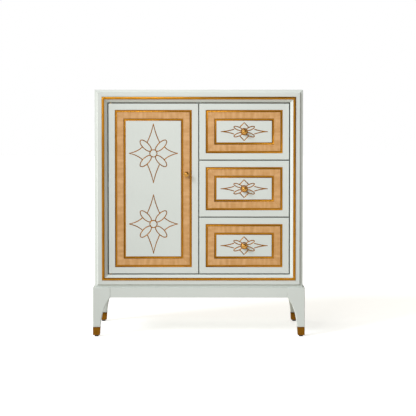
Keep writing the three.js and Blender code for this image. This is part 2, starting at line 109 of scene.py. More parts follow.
# %% [markdown]
# ## A recipe for plain surfaces
#
# Paint, metal and moulded plastic are the same recipe with other numbers: two tones mixed in
# patches, and a fine grit that varies the roughness and gives a small bump. It reads the
# piece's own coordinates, so it stays put when a door or drawer moves. `laid_over` mixes two
# colours by a texture, and `link_surface` joins a colour, a varied roughness and a bump to the
# shader. The woods use both too.

# %% Two tones, a varied roughness and a fine bump


def laid_over(tree, under, texture, colour, start=0.0, full=1.0, share=1.0):
    """A colour laid over another, from none where the texture is at start to a share at full."""
    where = {"Value": texture, "From Min": start, "From Max": full, "To Max": share}
    cover = add(tree, "ShaderNodeMapRange", where)
    mixed = {0: cover, MIX_A: under, MIX_B: linear(colour)}
    return add(tree, "ShaderNodeMix", mixed, data_type="RGBA").outputs[MIX_COLOUR]


def link_surface(tree, shader, colour, gloss, relief):
    """Gloss is (texture, least and most roughness); relief is (texture, strength, mm deep)."""
    spread = {"Value": gloss[0], "To Min": gloss[1], "To Max": gloss[2]}
    rough = add(tree, "ShaderNodeMapRange", spread)
    height = {"Height": relief[0], "Strength": relief[1], "Distance": relief[2] * MM}
    bump = add(tree, "ShaderNodeBump", height)
    tree.links.new(colour, shader.inputs["Base Color"])
    tree.links.new(rough.outputs["Result"], shader.inputs["Roughness"])
    tree.links.new(bump.outputs["Normal"], shader.inputs["Normal"])


def two_toned(
    name, constants, tones, patch, grit, gloss, relief=(0.2, 0.05), detail=2.0, stretch=(1, 1, 1)
):
    """Patch and grit are sizes in millimetres, gloss the least and most roughness, relief the
    bump's strength and depth in millimetres; a stretch below 1 draws the grit out in lines."""
    material, tree, shader = new_material(name, constants)
    place = add(tree, "ShaderNodeTexCoord").outputs["Object"]
    patches = add(tree, "ShaderNodeTexNoise", {"Vector": place, "Scale": per_mm(patch)})
    drawn = add(tree, "ShaderNodeMapping", {"Vector": place, "Scale": stretch})
    grain = {"Vector": drawn, "Scale": per_mm(grit), "Detail": detail}
    fine = add(tree, "ShaderNodeTexNoise", grain)
    tone = laid_over(tree, linear(tones[0]), patches, tones[1])
    link_surface(tree, shader, tone, (fine, *gloss), (fine, *relief))
    return material


# %% [markdown]
# ## Satin lacquer on the painted wood
#
# The body is fibreboard and beech sprayed with a pale grey-green two-part lacquer, rubbed
# down between coats. To the eye it is an even colour with a soft, slightly wavy highlight:
# spray leaves a fine orange peel. Real orange peel is 1 to 2 mm across; it is drawn 4 mm
# across, so that it can be seen at all from across a room. A very slow change of tone stands
# for the uneven thickness of the coats.

# %% Satin sprayed lacquer
lacquer = two_toned(
    "satin_sprayed_lacquer",
    {"IOR": 1.5, "Coat Weight": 0.12, "Coat Roughness": 0.25},
    ("#D9DED8", "#E0E4DF"),
    patch=160,
    grit=4,
    gloss=(0.34, 0.42),
    relief=(0.12, 0.05),
    detail=1.0,
)

# %% [markdown]
# ## Gold paint in the grooves
#
# The bead, the grooves and the stars are painted with bronze-powder gold paint. Its flakes
# lie in a clear binder, so it is nearly all metal with a little of the binder's dullness:
# warm, not mirror-like, darker where it turns away from the light, with a few thin places.
# Real flakes are under 0.1 mm; they are drawn 1.5 mm across.

# %% Brushed gold paint
gold_paint = two_toned(
    "brushed_gold_paint",
    {"Metallic": 0.85, "IOR": 1.5},
    ("#9C640A", "#B47C20"),
    patch=35,
    grit=1.5,
    gloss=(0.24, 0.38),
    relief=(0.25, 0.08),
    detail=3.0,
)

# %% [markdown]
# ## Metals and plastics
#
# Four metals: the knobs are turned brass, polished and lacquered; the foot caps are satin
# brass, coloured a darker brown to paint in the shade under the cabinet; the pivot hinges are
# brushed brass, whose brush lines run along the plate, coloured darker to paint in the shade
# in the door's gaps; screws and catch plates are zinc-plated steel. Two plastics: moulded
# black polyamide for the glides and pale acetal for the catch.

# %% Brass, steel and moulded plastic
METAL = {"Metallic": 1.0}
knob_brass = two_toned("turned_brass_polished", METAL, ("#B88640", "#CC9C52"), 12, 2, (0.16, 0.22))
# the foot caps' brass is coloured darker, a painted shade for the shadow under the cabinet
foot_brass = two_toned("satin_brass_darkened_as_painted_shade", METAL, ("#6C420A", "#845818"), 9, 1.5, (0.26, 0.38))
# the hinges' brass is coloured darker, a painted shade for the shadow in the gaps round the door
hinge_brass = two_toned(
    "brushed_brass_darkened_as_painted_shade", METAL, ("#8C6A34", "#9C7A44"), 20, 0.8, (0.25, 0.5), stretch=(0.05, 1, 1)
)
steel = two_toned("zinc_plated_steel", METAL, ("#B4B8BC", "#C6C9CC"), 3, 1, (0.25, 0.42))
black_polyamide = two_toned(
    "moulded_black_polyamide", {"IOR": 1.53}, ("#161514", "#211F1D"), 5, 1.2, (0.5, 0.65)
)
pale_acetal = two_toned(
    "moulded_pale_acetal", {"IOR": 1.48}, ("#CFCFC8", "#D8D8D2"), 6, 1.2, (0.38, 0.5)
)

# %% [markdown]
# ## Honey veneer
#
# The bands are sliced birch veneer, stained to honey and lacquered satin. The grain runs along
# each strip, so the pattern has to turn at every mitre. A pattern on the object's own
# coordinates can't do that, so the strips carry a UV map in metres: U along the grain and V
# across it. Three things are layered: slow bands of colour about 6 mm wide, soft cross bars,
# the silk that appears where the fibres wave, and thin dark pores (0.2 mm in the wood, drawn
# 1 mm). `figure` makes each pattern.

# %% Honey birch veneer under satin lacquer


def figure(tree, place, sizes, **noise):
    """Noise whose spots have the given sizes in millimetres along the three axes."""
    scale = [per_mm(size) for size in sizes]
    spread = add(tree, "ShaderNodeMapping", {"Vector": place, "Scale": scale})
    return add(tree, "ShaderNodeTexNoise", {"Vector": spread, "Scale": 1.0, **noise})


veneer, tree, shader = new_material(
    "honey_birch_veneer_lacquered", {"IOR": 1.52, "Coat Weight": 0.25, "Coat Roughness": 0.3}
)
grain_map = add(tree, "ShaderNodeUVMap", uv_map="grain")
bands = figure(tree, grain_map, (70, 6, 1000), Detail=4.0, Distortion=0.5)
silk = figure(tree, grain_map, (14, 60, 1000), Detail=1.0)
pores = figure(tree, grain_map, (18, 1, 1000), Detail=2.0)
honey = laid_over(tree, linear("#BE8443"), bands, "#DCA868")
silky = laid_over(tree, honey, silk, "#E6B57E", start=0.4, full=0.65, share=0.6)
stained = laid_over(tree, silky, pores, "#A87436", start=0.55, full=0.8, share=0.6)
link_surface(tree, shader, stained, (bands, 0.36, 0.5), (pores, 0.15, -0.05))

# %% [markdown]
# ## Birch for the drawer boxes, plywood for the back
#
# The boxes and runners are planed birch under clear matt lacquer. Their grain follows the
# length of each board, so the same recipe is made once for each direction, with the pattern
# stretched along it: growth bands about 9 mm wide and 200 mm long, and fibres (0.3 mm, drawn
# 1.5 mm). The back is rotary-cut plywood, whose figure is broader: its bands are 28 mm wide.

# %% Planed birch, one material for each direction of the grain


def birch(name, grain_axis, band_width, pale, dark):
    material, tree, shader = new_material(name, {"IOR": 1.5, "Coat Weight": 0.05})
    place = add(tree, "ShaderNodeTexCoord").outputs["Object"]

    def along_grain(across, along):
        return [along if axis == grain_axis else across for axis in range(3)]

    bands = along_grain(band_width, 22 * band_width)
    growth = figure(tree, place, bands, Detail=3.0, Distortion=0.6)
    fibre = figure(tree, place, along_grain(1.5, 30), Detail=2.0)
    tone = laid_over(tree, linear(pale), growth, dark)
    wood = laid_over(tree, tone, fibre, "#B48E5C", start=0.5, share=0.5)
    link_surface(tree, shader, wood, (fibre, 0.5, 0.65), (fibre, 0.3, 0.08))
    return material


birch_across = birch("planed_birch_grain_across", 0, 9, "#E2C79C", "#CFAE7C")
birch_deep = birch("planed_birch_grain_deep", 1, 9, "#E2C79C", "#CFAE7C")
plywood = birch("rotary_cut_birch_plywood", 2, 28, "#D9BC8F", "#C4A070")

# %% [markdown]
# ## From a mesh to a finished piece
#
# Three steps are the same for every piece. `make` puts a mesh in the scene and shades it:
# faces that lie square to an axis stay flat, and the eased edges and curves between them are
# smooth, which is what makes a small rounding catch the light. `evaluated` gives the mesh that
# a piece's live modifiers lead to. `settle` hangs the piece on the body it rides on and hides
# the plain solids it stands for.

# %% Making and settling pieces
SHARP = math.radians(35)


def shade(mesh):
    stored = mesh.attributes.get("custom_normal")
    if stored:
        mesh.attributes.remove(stored)  # a plain solid's own shading, copied with its shape
    mesh.set_sharp_from_angle(angle=SHARP)
    aslant = [max(map(abs, face.normal)) < 0.9999 for face in mesh.polygons]
    mesh.polygons.foreach_set("use_smooth", aslant)


def placed(name, data):
    thing = bpy.data.objects.new(name, data)
    bpy.context.scene.collection.objects.link(thing)
    return thing


def make(name, mesh, *materials):
    for material in materials:
        mesh.materials.append(material)
    mesh.name = name
    shade(mesh)
    return placed(name, mesh)


def from_bmesh(bm, outwards=True):
    if outwards:
        bmesh.ops.recalc_face_normals(bm, faces=bm.faces)
    for face in bm.faces:
        face.material_index = 0
    mesh = bpy.data.meshes.new("new")
    bm.to_mesh(mesh)
    bm.free()
    return mesh


def evaluated(piece):
    bpy.context.view_layer.update()
    live = piece.evaluated_get(bpy.context.evaluated_depsgraph_get())
    return bpy.data.meshes.new_from_object(live)


def settle(piece, body, slot, *nodes):
    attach(piece, body)
    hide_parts(*nodes)
    piece.data.calc_loop_triangles()
    print(f"  {piece.name}: {len(piece.data.loop_triangles)} triangles on {body}")


# %% [markdown]
# ## Geometry Nodes without leftovers
#
# A geometry tree gets its sizes through named inputs. To use one, a holder object carries the
# modifier, the inputs are set by their sockets' identifiers, and the evaluated result is
# copied into a plain mesh. The holder is then thrown away, so no modifier is left behind.

# %% Growing a mesh from a tree
SOCKET_KINDS = {float: "NodeSocketFloat", int: "NodeSocketInt", tuple: "NodeSocketVector"}


def new_tree(name, inputs):
    tree = bpy.data.node_groups.new(name, "GeometryNodeTree")
    tree.interface.new_socket("Geometry", in_out="INPUT", socket_type="NodeSocketGeometry")
    for label, value in inputs.items():
        kind = SOCKET_KINDS[type(value)]
        tree.interface.new_socket(label, in_out="INPUT", socket_type=kind).default_value = value
    tree.interface.new_socket("Material", in_out="INPUT", socket_type="NodeSocketMaterial")
    tree.interface.new_socket("Geometry", in_out="OUTPUT", socket_type="NodeSocketGeometry")
    return tree, tree.nodes.new("NodeGroupInput").outputs


def close_tree(tree, geometry, inputs):
    real = add(tree, "GeometryNodeRealizeInstances", {"Geometry": geometry})
    wearing = {"Geometry": real, "Material": inputs["Material"]}
    dressed = add(tree, "GeometryNodeSetMaterial", wearing)
    add(tree, "NodeGroupOutput", {"Geometry": dressed})


def grow(name, tree, values, material, points=()):
    seed = bpy.data.meshes.new(name)
    seed.from_pydata(points, [], [])
    holder = placed(name, seed)
    modifier = holder.modifiers.new(name, "NODES")
    modifier.node_group = tree
    values = {**values, "Material": material}
    for item in tree.interface.items_tree:
        if item.in_out == "INPUT" and item.name in values:
            modifier[item.identifier] = values[item.name]
    mesh = evaluated(holder)
    bpy.data.objects.remove(holder)
    return make(name, mesh)


# %% [markdown]
# ## Cutting one piece out of another
#
# Real joinery is mostly cutting: a stud needs its hole and a tenon its mortise. The Boolean
# modifier does this between closed meshes. Where a neighbour's plain solid is already drawn,
# its own shape is the best cutter, so `solid_of` makes a clean copy of one.

# %% Boolean cuts


def solid_of(node):
    """A copy of a plain solid with its corners joined and its flat faces made whole."""
    bm = bmesh.new()
    bm.from_mesh(frame["nodes"][node].data)
    bmesh.ops.remove_doubles(bm, verts=bm.verts, dist=1e-6)
    flat = math.radians(0.5)
    bmesh.ops.dissolve_limit(bm, angle_limit=flat, verts=bm.verts, edges=bm.edges)
    return bm


def cut_out(piece, *cutters):
    """Takes the cutters' shapes out of the piece, and throws the cutters away."""
    for cutter in cutters:
        modifier = piece.modifiers.new("cut", "BOOLEAN")
        modifier.object = cutter
        modifier.operation = "DIFFERENCE"
        modifier.solver = "MANIFOLD"
    mesh = evaluated(piece)
    piece.modifiers.clear()
    shade(mesh)
    piece.data = mesh
    for cutter in cutters:
        bpy.data.objects.remove(cutter)


def node_cutter(node):
    return make("cutter", from_bmesh(solid_of(node), outwards=False))


# %% [markdown]
# ## Boards with eased edges
#
# No maker leaves a sharp arris on a board: it is rubbed down with fine paper to a radius of
# a little over half a millimetre, which is what shows as a thin light line along each edge.
# The plain solids already have every rebate, groove and tenon, so each board is a copy of its
# solid with its real edges bevelled. Two segments are enough for such a small radius.

# %% Easing the edges of boards and small fittings
CREASE = math.radians(25)


def bevel(bm, edges, radius, segments=2, clamped=False):
    round_edges = {"profile": 0.5, "affect": "EDGES", "clamp_overlap": clamped}
    bmesh.ops.bevel(bm, geom=edges, offset=radius * MM, segments=segments, **round_edges)


def eased_copy(node, radius, segments, *materials):
    bm = solid_of(node)
    edges = [e for e in bm.edges if e.is_manifold and e.calc_face_angle() > CREASE]
    bevel(bm, edges, radius, segments, clamped=True)
    return make(node + "_finished", from_bmesh(bm, outwards=False), *materials)


def slab(name, low, high, radius, material):
    """A small plate with eased edges, between two corners."""
    bm = bmesh.new()
    middle, size = (low + high) / 2, high - low
    place = Matrix.Translation(middle) @ Matrix.Diagonal(size.to_4d())
    bmesh.ops.create_cube(bm, size=1.0, matrix=place)
    bevel(bm, bm.edges[:], radius)
    return make(name, from_bmesh(bm), material)


# %% [markdown]
# ## Sections that run round a rectangle
#
# The frame, the fronts, the gilt grooves and the veneer bands are all one idea: a section is
# carried round a rectangle and mitred at its corners, as a moulding is. A point of the
# section is how far in it lies from the rectangle's edge and how far forward from the face,
# in millimetres. `ease` rounds the corners of a section; `ring` carries it round in one piece,
# and `lengths` makes separate strips with mitred ends.

# %% Easing a section and carrying it round a rectangle
ARC_STEPS = 4


def ease(corners):
    """Each corner is (inwards, forwards, radius); the result is a list of (inwards, forwards)."""
    outline = []
    for i, (inwards, forwards, radius) in enumerate(corners):
        here = Vector((inwards, forwards))
        if radius == 0:
            outline.append(here)
            continue
        back = (Vector(corners[i - 1][:2]) - here).normalized()
        ahead = (Vector(corners[(i + 1) % len(corners)][:2]) - here).normalized()
        half = back.angle(ahead) / 2
        centre = here + (back + ahead).normalized() * radius / math.sin(half)
        first = here + back * radius / math.tan(half) - centre
        last = here + ahead * radius / math.tan(half) - centre
        for step in range(ARC_STEPS + 1):
            spoke = first.lerp(last, step / ARC_STEPS).normalized() * radius
            outline.append(centre + spoke)
    return outline


def corner_places(point, low, high, face_y):
    inwards, y = point[0] * MM, face_y - point[1] * MM
    left, right = low.x + inwards, high.x - inwards
    down, up = low.z + inwards, high.z - inwards
    return [Vector((x, y, z)) for x, z in ((left, down), (right, down), (right, up), (left, up))]


def ring(section, low, high, face_y, closed):
    """One mesh all the way round. An open section starts behind and ends in front, and is
    closed there with a flat face."""
    bm = bmesh.new()
    loops = []
    for point in section:
        loops.append([bm.verts.new(place) for place in corner_places(point, low, high, face_y)])
    pairs = list(zip(loops, loops[1:]))
    if closed:
        pairs.append((loops[-1], loops[0]))
    for outer, inner in pairs:
        for i in range(4):
            j = (i + 1) % 4
            bm.faces.new((outer[i], outer[j], inner[j], inner[i]))
    if not closed:
        bm.faces.new(reversed(loops[0]))
        bm.faces.new(loops[-1])
    return from_bmesh(bm)


def lengths(section, low, high, face_y, gap, sides=(0, 1, 2, 3)):
    """Separate mitred lengths on the chosen sides (0 is the lower one, then anticlockwise),
    with a UV map in metres: U along the length, V across it."""
    bm = bmesh.new()
    grain = bm.loops.layers.uv.new("grain")
    for side in sides:
        ends, across = ([], []), {}
        for point in section:
            places = corner_places(point, low, high, face_y)
            here, there = places[side], places[(side + 1) % 4]
            run = (there - here).normalized()
            short = run * gap * MM
            for end, place in zip(ends, (here + short, there - short)):
                end.append(bm.verts.new(place))
                across[end[-1]] = point[0] * MM
        faces = [bm.faces.new(end) for end in ends]
        for i in range(len(section)):
            j = (i + 1) % len(section)
            faces.append(bm.faces.new((ends[0][i], ends[0][j], ends[1][j], ends[1][i])))
        for face in faces:
            for loop in face.loops:  # each side reads a stretch of the pattern of its own
                u = run.dot(loop.vert.co) + 3.1 * side
                loop[grain].uv = (u, across[loop.vert] + 0.7 * side)
    return from_bmesh(bm)


# %% [markdown]
# ## The stand: curved legs
#
# Each leg is a square post. Its two outer faces are straight and both inner faces follow the
# same curve, from a 66 mm block at the apron down to a 28 mm ankle. That is a rule: the width
# of the square is a quadratic curve of the height. A Geometry Nodes tree follows it exactly:
# a column of square rows is set in place row by row, and the sizes are its named inputs. The
# arrises are then eased, and the other three legs are mirror images.

# %% A tree whose rows follow the leg's curve
VECTOR_A, VECTOR_B, MIX_VECTOR = 4, 5, 1  # the same Mix node's sockets for vectors

leg_low, leg_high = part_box("leg_front_left")
ferrule_low, ferrule_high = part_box("ferrule_front_left")
foot_width = ferrule_high.x - ferrule_low.x
block_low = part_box("apron_front")[0].z
leg_sizes = {
    "Block width": leg_high.x - leg_low.x,
    "Ankle width": foot_width,
    "Curve pull": foot_width + 5 * MM,
    "Pull height": block_low - 40 * MM,
    "Low": ferrule_high.z + 0.2 * MM,
    "Curve top": block_low,
    "Top": leg_high.z,
    "Steps": 24,
}
tree, inputs = new_tree("curved leg", leg_sizes)
steps, curve_top = inputs["Steps"], inputs["Curve top"]
# One row of corners starts each step; one more ends the last, and one is the block's top.
last_row = add(tree, "ShaderNodeMath", {0: steps, 1: 1.0}, operation="ADD")
rows = add(tree, "ShaderNodeMath", {0: steps, 1: 2.0}, operation="ADD")
grid = {"Size": (1.0, 1.0, 1.0), "Vertices X": 2, "Vertices Y": 2, "Vertices Z": rows}
column = add(tree, "GeometryNodeMeshCube", grid)
corner = add(tree, "GeometryNodeInputPosition")
up = add(tree, "ShaderNodeSeparateXYZ", {0: corner}).outputs["Z"]
numbered = {"Value": up, "From Min": -0.5, "From Max": 0.5, "To Max": last_row}
row = add(tree, "ShaderNodeMapRange", numbered)
share = add(tree, "ShaderNodeMapRange", {"Value": row, "From Max": steps})
block = add(tree, "ShaderNodeMath", {0: inputs["Top"], 1: curve_top}, operation="SUBTRACT")
above = {"Value": row, "From Min": steps, "From Max": last_row, "To Max": block}
lift = add(tree, "ShaderNodeCombineXYZ", {"Z": add(tree, "ShaderNodeMapRange", above)})

# Three points (width, width, height) pull the curve. Mixing neighbours by the share of the
# way up, and mixing the results again, is a quadratic curve.
pulls = []
for wide, high in (("Ankle width", "Low"), ("Curve pull", "Pull height"), ("Block width", "Curve top")):
    point = {"X": inputs[wide], "Y": inputs[wide], "Z": inputs[high]}
    pulls.append(add(tree, "ShaderNodeCombineXYZ", point))
while len(pulls) > 1:
    neighbours = [{0: share, VECTOR_A: a, VECTOR_B: b} for a, b in zip(pulls, pulls[1:])]
    mixes = [add(tree, "ShaderNodeMix", pair, data_type="VECTOR") for pair in neighbours]
    pulls = [mix.outputs[MIX_VECTOR] for mix in mixes]
outer = {0: corner, 1: (1.0, 1.0, 0.0), 2: (0.5, 0.5, 1.0)}  # from one corner, not the middle
spread = add(tree, "ShaderNodeVectorMath", outer, operation="MULTIPLY_ADD")
sized = {0: spread, 1: pulls[0], 2: lift}
place = add(tree, "ShaderNodeVectorMath", sized, operation="MULTIPLY_ADD")
shaped = add(tree, "GeometryNodeSetPosition", {"Geometry": column, "Position": place})
close_tree(tree, shaped, inputs)
leg_tree = tree
print("tree:", leg_tree.name, "with", len(leg_tree.nodes), "nodes")

# %% Four legs, eased, mirrored and mortised
LEG_EASE = 2.0

model = grow("leg_model", leg_tree, leg_sizes, lacquer)
bm = bmesh.new()
bm.from_mesh(model.data)
bmesh.ops.remove_doubles(bm, verts=bm.verts, dist=1e-6)
arrises = [e for e in bm.edges if e.calc_face_angle() > CREASE]
bevel(bm, arrises, LEG_EASE, segments=3)
leg_shape = from_bmesh(bm)
bpy.data.objects.remove(model)
LEG_PLACES = ("front_left", "front_right", "back_left", "back_right")
for place in LEG_PLACES:
    low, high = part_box("leg_" + place)
    left, front = place.endswith("left"), place.startswith("front")
    corner = Vector((low.x if left else high.x, low.y if front else high.y, 0))
    mirror = Matrix.Diagonal((1 if left else -1, 1 if front else -1, 1, 1))
    bm = bmesh.new()
    bm.from_mesh(leg_shape)
    bmesh.ops.transform(bm, matrix=Matrix.Translation(corner) @ mirror, verts=bm.verts)
    leg = make("leg_" + place + "_finished", from_bmesh(bm), lacquer)
    sides = ("front" if front else "back", "left" if left else "right")
    cut_out(leg, *[node_cutter("apron_" + side) for side in sides])
    settle(leg, "carcass", "painted_wood", "leg_" + place)

# %% [markdown]
# ## Foot caps and glides
#
# A brass cap closes the end of each leg: a folded and soldered square cup, so its corners are
# only just rounded. Below it is a black glide with a nail. The glide is turned: an outline
# spun round an axis, which also makes the knobs.

# %% Turning an outline round an axis


def turned(outline, axis_place, facing, steps=48):
    """The outline is (radius, height) in millimetres, from axis to axis; heights run along
    facing from axis_place."""
    bm = bmesh.new()
    verts = [bm.verts.new((radius * MM, 0, height * MM)) for radius, height in outline]
    edges = [bm.edges.new(pair) for pair in zip(verts, verts[1:])]
    whole = {"cent": (0, 0, 0), "axis": (0, 0, 1), "angle": 2 * math.pi, "use_merge": True}
    bmesh.ops.spin(bm, geom=verts + edges, steps=steps, **whole)
    bmesh.ops.remove_doubles(bm, verts=bm.verts, dist=1e-7)
    turn = Vector((0, 0, 1)).rotation_difference(facing).to_matrix().to_4x4()
    bmesh.ops.transform(bm, matrix=Matrix.Translation(axis_place) @ turn, verts=bm.verts)
    return from_bmesh(bm)


def arc_points(centre, radii, start, end, steps):
    """Points on an ellipse, angles in degrees from the first axis."""
    angles = [math.radians(start + (end - start) * i / steps) for i in range(steps + 1)]
    return [
        (centre[0] + radii[0] * math.cos(a), centre[1] + radii[1] * math.sin(a)) for a in angles
    ]


# %% Brass foot caps on black glides
for place in LEG_PLACES:
    cap = eased_copy("ferrule_" + place, 0.5, 2, foot_brass)
    settle(cap, "carcass", "foot_brass", "ferrule_" + place)
    low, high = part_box("glide_" + place)
    middle = (low + high) / 2
    outline = (
        [(0, 0), (5.5, 0)]
        + arc_points((6.2, 1.8), (1.8, 1.8), -90, 0, 5)
        + [(8, 5.5), (7.7, 5.8), (1.2, 5.8), (1.2, 20), (0, 20)]
    )
    shape = turned(outline, Vector((middle.x, middle.y, 0)), Vector((0, 0, 1)))
    glide = make("glide_" + place + "_finished", shape, black_polyamide)
    settle(glide, "carcass", "glide_plastic", "glide_" + place)

# %% [markdown]
# ## Screws and dowels
#
# What fastens the boards is small and repeated, so it is one tree: a countersunk head with a
# cross recess is set on every point it is given, facing one way, each turned by a seeded
# random angle, as no two screws stop alike. The same tree without the recess gives the ends
# of wooden dowels, and the cutters that countersink the holes, so that a head lies 0.2 mm
# below the surface and not in it.

# %% One tree for heads and one for plain plugs
CUT = {"operation": "DIFFERENCE", "solver": "MANIFOLD"}


def fastener_tree(name, crossed):
    sizes = {"Radius": 0.004, "Foot radius": 0.0018, "Depth": 0.0024, "Rise": 0.0}
    tree, inputs = new_tree(name, {**sizes, "Facing": (0.0, 0.0, 1.0), "Seed": 7})
    radius, depth, rise = inputs["Radius"], inputs["Depth"], inputs["Rise"]
    cone = {"Radius Top": radius, "Radius Bottom": inputs["Foot radius"], "Depth": depth}
    body = add(tree, "GeometryNodeMeshCone", {"Vertices": 20, **cone})
    sunk = add(tree, "ShaderNodeMath", {0: rise, 1: depth}, operation="SUBTRACT")
    down = add(tree, "ShaderNodeCombineXYZ", {"Z": sunk})
    head = add(tree, "GeometryNodeTransform", {"Geometry": body, "Translation": down})
    if crossed:
        long, thin, deep = (
            add(tree, "ShaderNodeMath", {0: size, 1: share}, operation="MULTIPLY")
            for size, share in ((radius, 1.15), (radius, 0.26), (depth, 1.3))
        )
        above = add(tree, "ShaderNodeCombineXYZ", {"Z": rise})
        for x, y in ((long, thin), (thin, long)):
            size = add(tree, "ShaderNodeCombineXYZ", {"X": x, "Y": y, "Z": deep})
            bar = add(tree, "GeometryNodeMeshCube", {"Size": size})
            slot = add(tree, "GeometryNodeTransform", {"Geometry": bar, "Translation": above})
            head = add(tree, "GeometryNodeMeshBoolean", {"Mesh 1": head, "Mesh 2": slot}, **CUT)
    angle = {3: 2 * math.pi, "Seed": inputs["Seed"]}  # socket 3 is the most a number can be
    spin = add(tree, "FunctionNodeRandomValue", angle, data_type="FLOAT").outputs[1]
    about = {"Axis": (0.0, 0.0, 1.0), "Angle": spin}
    turn = add(tree, "FunctionNodeAxisAngleToRotation", about)
    facing = {"Rotation": turn, "Vector": inputs["Facing"]}
    aim = add(tree, "FunctionNodeAlignRotationToVector", facing, axis="Z")
    set_out = {"Points": inputs["Geometry"], "Instance": head, "Rotation": aim}
    close_tree(tree, add(tree, "GeometryNodeInstanceOnPoints", set_out), inputs)
    return tree


screw_tree = fastener_tree("cross-head screws on points", True)
plug_tree = fastener_tree("plain plugs on points", False)
FOOT_SHARE, DEPTH_SHARE = 0.45, 0.6  # a countersunk head's narrow end and depth, by its radius
SINK = 1.2  # how much wider and deeper than its head a countersink is, in millimetres


def screws(name, body, points, facing, radius, *drilled):
    """Countersinks the drilled pieces at the points and puts the screws in."""
    head = {"Radius": radius * MM, "Foot radius": radius * FOOT_SHARE * MM}
    head |= {"Depth": radius * DEPTH_SHARE * MM, "Rise": -0.2 * MM, "Facing": facing}
    sink = {"Radius": (radius + SINK) * MM, "Depth": (radius * DEPTH_SHARE + SINK) * MM}
    for piece in drilled:
        cut_out(piece, grow("drill", plug_tree, {**head, **sink, "Rise": 1.0 * MM}, None, points))
    settle(grow(name, screw_tree, head, steel, points), body, "steel")


# %% [markdown]
# ## Aprons and carcass boards
#
# The aprons tie the legs together. On them stands the carcass: two sides, top, bottom, a
# divider between door and drawers, one shelf and a thin back let into rebates. All of it is
# lacquered except the plywood back, which is screwed on all the way round.

# %% Painted boards
aprons = ["apron_" + side for side in ("front", "back", "left", "right")]
boards = ["side_left", "side_right", "top_panel", "bottom_panel", "divider", "shelf"]
for node in aprons + boards:
    settle(eased_copy(node, 0.7, 2, lacquer), "carcass", "painted_wood", node)

# %% The back panel and its screws


def row_of(start, end, count):
    return [start.lerp(end, i / (count - 1)) for i in range(count)]


back = eased_copy("back_panel", 0.4, 2, plywood)
low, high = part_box("back_panel")
edge = Vector((6 * MM, 0, 6 * MM))
low, high = low + edge, high - edge
around = ((low.x, low.z), (high.x, low.z), (high.x, high.z), (low.x, high.z))
corners = [Vector((x, high.y, z)) for x, z in around]
points = []
for i in range(4):
    points += row_of(corners[i], corners[(i + 1) % 4], 6)[:-1]
screws("back_panel_screws", "carcass", points, (0.0, 1.0, 0.0), 3.5, back)
settle(back, "carcass", "box_wood", "back_panel")

# %% [markdown]
# ## The moulded frame and its gilt bead
#
# Four lengths of moulding, mitred at the corners, go round the front. From the outside in, the
# section is a small fillet, a cove, a flat, a fine quirk, the gilt bead and a slope down to
# the door. The bead is drawn as a piece of its own, a half-round strip let into the moulding,
# because it has a finish of its own.

# %% Mouldings and bead
flat_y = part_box("apron_front")[0].y
frame_low = Vector((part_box("side_left")[0].x, 0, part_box("moulding_bottom")[0].z))
frame_high = Vector((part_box("side_right")[1].x, 0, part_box("moulding_top")[1].z))
behind = (flat_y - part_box("moulding_top")[1].y) / MM
section = ease(
    [(0, behind, 0.5), (48, behind, 0.5), (48, -10, 1.0), (37.5, 0, 0.6), (37, 0, 0)]
    + [(37, -1.2, 0), (26.6, -1.2, 0), (26.6, 0, 0.4), (12, 0, 0.8)]
)
cove = arc_points((5, 0), (6.6, 7), -8, -90, 8)
section += [Vector(point) for point in cove] + ease([(0, -8.5, 0)])
swing = next(joint for joint in frame["joints"] if joint["name"] == "door_swing")
hinge_x, hinge_y = swing["pos_m"][:2]


def pin_bore(end):
    """A round cutter, 0.2 mm wider all round than the 3 mm pin, so that the pin can turn."""
    low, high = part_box("door_pivot_" + end)
    up = 1 if end == "top" else -1
    tip = high.z if up > 0 else low.z
    outline = [(0, -30), (3.2, -30), (3.2, 0.2), (0, 0.2)]
    place = Vector((hinge_x, hinge_y, tip))
    return make("bore", turned(outline, place, Vector((0, 0, up)), 32))


for side, place in enumerate(("bottom", "right", "top", "left")):
    node = "moulding_" + place
    mesh = lengths(section, frame_low, frame_high, flat_y, 0.1, (side,))
    rail = make(node + "_finished", mesh, lacquer)
    if place in ("bottom", "top"):
        cut_out(rail, pin_bore(place))
    settle(rail, "carcass", "painted_wood", node)
half_round = arc_points((32, 0), (4.95, 3.5), 180, 0, 14)
bead_section = [(36.95, -1.1), (27.05, -1.1)] + half_round
bead_ring = ring(bead_section, frame_low, frame_high, flat_y, closed=True)
settle(make("gilt_bead", bead_ring, gold_paint), "carcass", "gold_paint")

# %% [markdown]
# ## The stars
#
# Door and drawers carry the same ornament at two sizes: a ring, four petals on the diagonals
# and four pointed spikes with hollow sides. It is engraved with a round-nosed cutter and then
# gilded. One quarter is drawn with curves, mirrored to the other three, and swept with a
# circle. The lines thin out towards the tips, as they do when the cutter is lifted. The tree
# can give the whole round line, which is the cutter for the wood, or a thin shell of it,
# which is the gilding that lines the groove.

# %% A tree that draws, mirrors and sweeps a star
STAR_SIZES = {  # (on the door, on a drawer)
    "Half width": (0.0923, 0.089),
    "Half height": (0.112, 0.0345),
    "Ring radius": (0.0135, 0.012),
    "Petal squash": ((1.0, 1.0, 1.0), (0.77, 0.40, 1.0)),
    "Upper foot": ((0.0235, 0.041, 0.0), (0.0165, 0.0168, 0.0)),
    "Upper pull": ((0.006, 0.078, 0.0), (0.0045, 0.0285, 0.0)),
    "Side foot": ((0.042, 0.0235, 0.0), (0.038, 0.0092, 0.0)),
    "Side pull": ((0.06, 0.006, 0.0), (0.062, 0.0008, 0.0)),
}
DOOR_STAR = {label: sizes[0] for label, sizes in STAR_SIZES.items()}
DRAWER_STAR = {label: sizes[1] for label, sizes in STAR_SIZES.items()}
PETAL = {"Petal reach": 0.041, "Petal length": 0.0275, "Petal width": 0.0118}
LINE = {"Line radius": 0.0018, "Wall": 0.0004}


